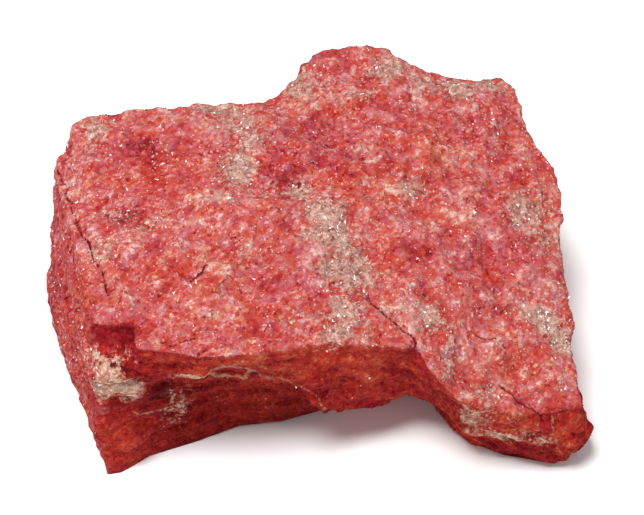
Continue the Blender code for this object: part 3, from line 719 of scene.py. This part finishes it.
def add_piece(name, mesh, material):
    """A new piece of the specimen, which rides on its body and takes its slot's finish."""
    piece = bpy.data.objects.new(name, mesh)
    mesh.materials.append(material)
    bpy.context.scene.collection.objects.link(piece)
    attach(piece, BODY)
    return piece


def add_node(tree, kind, inputs=None, output=0, stops=(), **settings):
    """Adds a shader node with its settings, its inputs, each a value or a socket to link, and the
    stops of its colour ramp. Returns the output asked for, or for None all of them."""
    node = tree.nodes.new("ShaderNode" + kind)
    for name, value in settings.items():
        setattr(node, name, value)
    for key, value in (inputs or {}).items():
        if isinstance(value, bpy.types.NodeSocket):
            tree.links.new(value, node.inputs[key])
        else:
            node.inputs[key].default_value = value
    for number, (place, colour) in enumerate(stops):
        elements = node.color_ramp.elements
        stop = elements[number] if number < 2 else elements.new(place)
        stop.position = place
        stop.color = hex_colour(colour)
    return node.outputs if output is None else node.outputs[output]


def new_material(name):
    """A material with an empty node tree."""
    material = bpy.data.materials.new(name)
    material.use_nodes = True
    material.node_tree.nodes.clear()
    return material


def rock_material(name, settings, grain, tilt, own_tone):
    """Thulite, a pink zoisite, broken by hand. To the eye it is a sugary mass of coral red, rose and
    pale pink grains with maroon and brown ones between, dull as a whole, with a few that flash: these
    are smoother, with a painted glint, a pale colour, mixed in. On the front it is deeper, brown orange
    and wine red in thin layers, and darker still with painted shade. Painted shade also darkens the
    hollow under the lip, the chip, the hole, the notch under the lip and the foot of the front, the
    sides, the dips of the relief, whose rises are painted paler, and cracks and pits, and the cream
    lines along the lip are a painted highlight of its edge. Where quartz comes in it turns beige and
    cream. The grain's size is in millimetres. tilt turns each grain's face out of the surface, and
    own_tone is how far each separate crystal's tone differs."""
    material = new_material(name)
    add = partial(add_node, material.node_tree)
    value = {key: add("Attribute", output="Fac", attribute_name=key) for key in MARKS}
    value["own tone"] = add("Math", {0: value["tint"], 1: own_tone}, operation="MULTIPLY")
    value["all over"] = 1.0

    # Where patterns are read, in millimetres: the point itself, the point bent by a noise, and along
    # the layers, where a pattern runs on about seven times as far as across
    place = add("VectorMath", {0: add("TexCoord", output="Object"), 1: (1 / MM,) * 3}, operation="MULTIPLY")
    wander = add("TexNoise", {"Vector": place, "Scale": 1 / BEND_SPACING, "Detail": 1.0}, "Color")
    bent = add("VectorMath", {0: wander, 1: (BEND,) * 3, 2: place}, operation="MULTIPLY_ADD")
    layer = add("CombineXYZ", {2: value["layer"]})
    along = add("VectorMath", {0: place, 1: (STRETCH, STRETCH, 0), 2: layer}, operation="MULTIPLY_ADD")
    read_at = {"place": place, "bent": bent, "along": along}

    # Each grain's colour holds three random numbers, for grains of three widths
    facing = {}
    for kind, share in GRAIN_WIDTHS.items():
        facing[kind] = add("TexVoronoi", {"Vector": bent, "Scale": 1 / (share * grain)}, "Color")
        parts = add("SeparateColor", {0: facing[kind]}, None)
        value.update({kind + key: part for key, part in zip(("first", "second", "third"), parts)})
    for key, at, spacing, detail in FIELDS:
        inputs = {"Vector": read_at[at], "Scale": 1 / spacing, "Detail": detail, "Roughness": 0.6}
        value[key] = add("TexNoise", inputs)
    for key, offset, parts, span in VALUES:
        total = offset
        for part, weight in parts.items():
            total = add("Math", {0: value[part], 1: weight, 2: total}, operation="MULTIPLY_ADD")
        if span:
            start, whole, most = span
            inputs = {"Value": total, "From Min": start, "From Max": whole, "To Max": value.get(most, most)}
            total = add("MapRange", inputs, interpolation_type="SMOOTHSTEP")
        value[key] = total

    colour = {key: hex_colour(text) for key, text in PLAIN_COLOURS.items()}
    colour["cream"], colour["crack"] = (*settings.cream, 1.0), (*settings.crack, 1.0)
    colour["light"] = (settings.light, settings.light, settings.light, 1.0)
    for key, follows in PALETTE_VALUES.items():
        colour[key] = add("ValToRGB", {0: value[follows]}, stops=PALETTES[key])
    for base, layers in LAYERS.items():
        for share, over, how in layers:
            inputs = {0: value[share], 6: colour[base], 7: colour[over]}
            colour[base] = add("Mix", inputs, 2, data_type="RGBA", blend_type=how, clamp_factor=True)

    normal = add("Bump", {"Height": value["crumbs"], "Distance": CRUMB_HEIGHT * MM})
    for kind in ("", "fine "):
        turn = add("VectorMath", {0: facing[kind], 1: (0.5,) * 3}, operation="SUBTRACT")
        normal = add("VectorMath", {0: turn, 1: (tilt,) * 3, 2: normal}, operation="MULTIPLY_ADD")
    inputs = {
        "Base Color": colour["coral"], "Roughness": value["roughness"], "Specular IOR Level": DULL,
        "Normal": add("VectorMath", {0: normal}, operation="NORMALIZE"),
    }
    add("OutputMaterial", {"Surface": add("BsdfPrincipled", inputs)}, None)
    return material


def crystal_material():
    """Quartz and zoisite faces that catch the light: pink to nearly white, glassy and smooth."""
    material = new_material("clear quartz")
    add = partial(add_node, material.node_tree)
    tint = add("Attribute", output="Fac", attribute_name="tint")
    colour = add("ValToRGB", {0: tint}, stops=PALETTES["glint"])
    inputs = {"Base Color": colour, "Roughness": 0.22, "IOR": 1.6}
    add("OutputMaterial", {"Surface": add("BsdfPrincipled", inputs)}, None)
    return material


# Crystals keep above the foot by this many millimetres, and are sunk by a share of their mean size.
# Glints are likelier in quartz, rarer on the front, and longer than grains, by these shares.
CLEAR_OF_FOOT = 0.6
SUNK = 0.55
MORE_IN_QUARTZ, FEWER_ON_FRONT, LONGER = 18, 0.9, 0.2


def scatter(points, normals, quads, count, likely, seed):
    """count random places on the quads, as likely as the area of each quad times its own share: at
    (1-u)(1-v)a + u(1-v)b + uv.c + (1-u)v.d. Returns places, normals, and the corners and weights."""
    a, b, c, d = (points[quads[:, k]] for k in range(4))
    area = np.linalg.norm(np.cross(c - a, d - b), axis=1) * likely
    rng = np.random.default_rng(seed)
    picked = quads[rng.choice(len(quads), count, p=area / area.sum())]
    u, v = rng.random((2, count))
    weights = np.stack([(1 - u) * (1 - v), u * (1 - v), u * v, (1 - u) * v], axis=1)
    return weigh(points, picked, weights), weigh(normals, picked, weights), picked, weights


def weigh(values, picked, weights):
    """The values at the picked corners, each times its weight."""
    chosen = values[picked]
    return (chosen * weights.reshape(weights.shape + (1,) * (chosen.ndim - 2))).sum(axis=1)


def crystal_faces(places, sizes, rng):
    """An uneven octahedron at each place: the points +-a, +-b and +-c of a randomly turned frame,
    each pushed by up to a fifth. Sizes are half lengths, one row of three for each crystal."""
    count = len(places)
    turns = rng.normal(size=(4, count))
    w, x, y, z = turns / np.linalg.norm(turns, axis=0)
    rows = np.array([
        [1 - 2 * (y * y + z * z), 2 * (x * y - z * w), 2 * (x * z + y * w)],
        [2 * (x * y + z * w), 1 - 2 * (x * x + z * z), 2 * (y * z - x * w)],
        [2 * (x * z - y * w), 2 * (y * z + x * w), 1 - 2 * (x * x + y * y)],
    ])
    axes = np.moveaxis(rows, 2, 0).transpose(0, 2, 1) * sizes[:, :, None]
    ends = np.stack([axes, -axes], axis=2).reshape(count, 6, 3)
    ends *= rng.uniform(0.8, 1.2, (count, 6, 1))
    corners = (places[:, None] + ends).reshape(-1, 3)
    one = np.array([
        (0, 2, 4), (2, 1, 4), (1, 3, 4), (3, 0, 4), (2, 0, 5), (1, 2, 5), (3, 1, 5), (0, 3, 5),
    ])
    faces = (one + 6 * np.arange(count)[:, None, None]).reshape(-1, 3)
    return corners, faces


def crystals_on(mesh, count, smallest, largest, clear, seed):
    """Crystals scattered over the block's mesh, the smallest the most common: half lengths are
    smallest + (largest - smallest) times the square of a random number, each of the three times one
    more. clear is 0 for grains, all over, and 1 for glints, most of them in the quartz. Returns
    corners, faces and the marks of each corner: those of the rock beneath, and a tint that is random
    for a grain and mostly its size for a glint."""
    points = read_values(mesh.vertices, "co", 3) / MM
    normals = read_values(mesh.vertex_normals, "vector", 3)
    corners = read_values(mesh.loops, "vertex_index", kind=np.int32)
    four_sided = read_values(mesh.polygons, "loop_total", kind=np.int32) == 4
    quads = corners[: 4 * int(four_sided.sum())].reshape(-1, 4)
    marks = {key: read_values(mesh.attributes[key].data, "value") for key in MARKS}
    beside = quads[:, 0]
    likely = 1 + clear * MORE_IN_QUARTZ * np.clip(marks["quartz"][beside], 0, 1) ** 2
    likely *= (points[beside, 2] > CLEAR_OF_FOOT) * (1 - FEWER_ON_FRONT * clear * marks["front"][beside])
    places, out, picked, weights = scatter(points, normals, quads, count, likely, seed + clear)
    rng = np.random.default_rng(seed + 50 + clear)
    spread = rng.random(count) ** 2
    largest *= 1 + LONGER * clear
    sizes = (smallest + (largest - smallest) * spread)[:, None]
    sizes = sizes * rng.uniform((0.9, 0.6, 0.5), (1.4, 1.0, 0.9), (count, 3))
    places -= out * sizes.mean(axis=1)[:, None] * SUNK
    shape, faces = crystal_faces(places, sizes, rng)
    shape = np.clip(shape, points.min(axis=0), points.max(axis=0))
    values = {key: np.repeat(weigh(numbers, picked, weights), 6) for key, numbers in marks.items()}
    pale = rng.random(count) ** 2
    values["tint"] = np.repeat(spread + 0.4 * pale if clear else pale - 0.3, 6)
    return shape, faces, values


class BlockSettings(PropertyGroup):
    half: IntProperty(
        name="Half columns", description="Cells from the middle of the top to its rim", default=96
    )
    side_rows: IntProperty(name="Side rows", description="Rows of cells down the side", default=62)
    foot_rings: IntProperty(name="Foot rings", description="Rings of cells under the block", default=8)
    grain: FloatProperty(
        name="Grain", description="Width of one mineral grain", default=0.00046, unit="LENGTH"
    )
    light: FloatProperty(
        name="Light", default=0.72, subtype="FACTOR",
        description="Multiplies the rock's colours, which are as seen in the strong light of the stage",
    )
    # Cream edges of the layers on the front, and a painted highlight along the lip's edge
    cream: FloatVectorProperty(
        name="Cream", description="Edges of the layers on the front", subtype="COLOR",
        default=hex_colour("dcac8c")[:3],
    )
    crack: FloatVectorProperty(
        name="Crack", description="The dark inside of a crack", subtype="COLOR",
        default=hex_colour("6c181c")[:3],
    )


class CrystalSettings(PropertyGroup):
    grains: IntProperty(
        name="Grains", description="Zoisite grains that stand out of the surface", default=20000
    )
    glints: IntProperty(name="Glints", description="Clear faces that catch the light", default=1800)
    smallest: FloatProperty(
        name="Smallest", description="Half length of the smallest grain", default=0.00012, unit="LENGTH"
    )
    largest: FloatProperty(
        name="Largest", description="Half length of the largest grain", default=0.00034, unit="LENGTH"
    )
    seed: IntProperty(name="Seed", description="Picks another scatter", default=11)


class StageSettings(PropertyGroup):
    floor_size: FloatProperty(
        name="Floor", description="Side of the square floor", default=3.0, unit="LENGTH"
    )
    floor_colour: FloatVectorProperty(
        name="Floor colour", description="Pale card", subtype="COLOR", default=hex_colour("f7f7f7")[:3]
    )
    sky: FloatProperty(name="Sky", description="Strength of the even white light", default=0.5)
    key: FloatProperty(
        name="Key", description="Watts of the soft lamp at the upper left", default=16.8, unit="POWER"
    )
    lamp_size: FloatProperty(
        name="Lamp", description="Width of the soft lamp", default=0.5, unit="LENGTH"
    )
    elevation: FloatProperty(
        name="Elevation", description="Camera height above the floor", default=math.radians(50),
        unit="ROTATION",
    )
    distance: FloatProperty(
        name="Distance", description="From the camera to its target", default=0.3323, unit="LENGTH"
    )
    lens: FloatProperty(
        name="Lens", description="Focal length in millimetres", default=135.0, subtype="DISTANCE_CAMERA"
    )


class ThuliteSettings(PropertyGroup):
    block: PointerProperty(type=BlockSettings, name="Block", description="The block's surface")
    crystals: PointerProperty(
        type=CrystalSettings, name="Crystals", description="Grains that stand out of the block"
    )
    stage: PointerProperty(type=StageSettings, name="Stage", description="Floor, light and camera")


class THULITE_OT_block(Operator):
    """Adds the broken block as one closed fine surface"""

    bl_idname = "thulite.block"
    bl_label = "Block"

    def execute(self, context):
        settings = context.scene.thulite.block
        sizes = (settings.half, settings.side_rows, settings.foot_rings)
        points, quads, fan, marks = block_surface(*sizes, CAD_LOW, CAD_HIGH)
        mesh = mesh_from_arrays("block", points, [quads, fan], True)
        add_values(mesh, marks)
        rock = rock_material("broken thulite", settings, settings.grain / MM, tilt=0.6, own_tone=0.0)
        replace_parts(add_piece("block", mesh, rock), NODE)
        return {"FINISHED"}


class THULITE_OT_crystals(Operator):
    """Adds the grains that stand out of the block, and the clear faces that flash"""

    bl_idname = "thulite.crystals"
    bl_label = "Crystals"

    def execute(self, context):
        block = bpy.data.objects.get("block")
        if block is None:
            raise RuntimeError("the block comes before its crystals")
        settings = context.scene.thulite.crystals
        rock = context.scene.thulite.block
        zoisite = rock_material("thulite grains", rock, rock.grain / MM * 2, tilt=0.1, own_tone=0.8)
        lengths = (settings.smallest / MM, settings.largest / MM)
        for name, material, count, clear in (
            ("zoisite_grains", zoisite, settings.grains, 0),
            ("quartz_glints", crystal_material(), settings.glints, 1),
        ):
            shape, faces, values = crystals_on(block.data, count, *lengths, clear, settings.seed)
            mesh = mesh_from_arrays(name, shape, [faces], False)
            add_values(mesh, values)
            add_piece(name, mesh, material)
        return {"FINISHED"}


class THULITE_OT_stage(Operator):
    """Adds the pale floor, the soft light and the camera"""

    bl_idname = "thulite.stage"
    bl_label = "Stage"

    def execute(self, context):
        settings = context.scene.thulite.stage
        scene = context.scene
        side = settings.floor_size / 2 / MM
        square = np.array([(-side, -side, 0), (side, -side, 0), (side, side, 0), (-side, side, 0)])
        mesh = mesh_from_arrays("floor", square, [np.array([(0, 1, 2, 3)])], False)
        floor = bpy.data.objects.new("floor", mesh)
        # Matt pale card: even and without gloss
        card = new_material("matt card")
        inputs = {"Base Color": (*settings.floor_colour, 1.0), "Roughness": 0.9}
        shader = add_node(card.node_tree, "BsdfPrincipled", inputs)
        add_node(card.node_tree, "OutputMaterial", {"Surface": shader}, None)
        mesh.materials.append(card)
        scene.collection.objects.link(floor)
        world = bpy.data.worlds.new("even light")
        world.use_nodes = True
        world.node_tree.nodes["Background"].inputs[0].default_value = (1, 1, 1, 1)
        world.node_tree.nodes["Background"].inputs[1].default_value = settings.sky
        scene.world = world
        lamp = bpy.data.lights.new("key", "AREA")
        lamp.shape = "DISK"
        lamp.size = settings.lamp_size
        lamp.energy = settings.key
        key = bpy.data.objects.new("key", lamp)
        key.location = LAMP_AT
        key.rotation_euler = key.location.to_track_quat("Z", "Y").to_euler()
        scene.collection.objects.link(key)
        camera = bpy.data.cameras.new("camera")
        camera.lens = settings.lens
        camera.clip_start = 0.01
        eye = bpy.data.objects.new("camera", camera)
        away = Vector((0, -math.cos(settings.elevation), math.sin(settings.elevation)))
        eye.location = LOOK_AT + away * settings.distance
        eye.rotation_euler = away.to_track_quat("Z", "Y").to_euler()
        scene.collection.objects.link(eye)
        scene.camera = eye
        scene.view_settings.view_transform = "Standard"
        scene.view_settings.look = "None"
        return {"FINISHED"}


class THULITE_PT_panel(Panel):
    """Lists the operators in the order in which they build the specimen"""

    bl_idname = "THULITE_PT_panel"
    bl_label = "Thulite specimen"
    bl_space_type = "VIEW_3D"
    bl_region_type = "UI"
    bl_category = "Thulite"

    def draw(self, context):
        settings = context.scene.thulite
        groups = (settings.block, settings.crystals, settings.stage)
        for operator, group in zip(OPERATORS, groups):
            box = self.layout.box()
            for key in type(group).__annotations__:
                box.prop(group, key)
            box.operator(operator.bl_idname)


OPERATORS = (THULITE_OT_block, THULITE_OT_crystals, THULITE_OT_stage)
CLASSES = (BlockSettings, CrystalSettings, StageSettings, ThuliteSettings, *OPERATORS, THULITE_PT_panel)


def register():
    for kind in CLASSES:
        bpy.utils.register_class(kind)
    bpy.types.Scene.thulite = PointerProperty(type=ThuliteSettings)


def unregister():
    del bpy.types.Scene.thulite
    for kind in reversed(CLASSES):
        bpy.utils.unregister_class(kind)


def main():
    register()
    bpy.ops.thulite.block()
    bpy.ops.thulite.crystals()
    bpy.ops.thulite.stage()


if __name__ == "__main__":
    main()
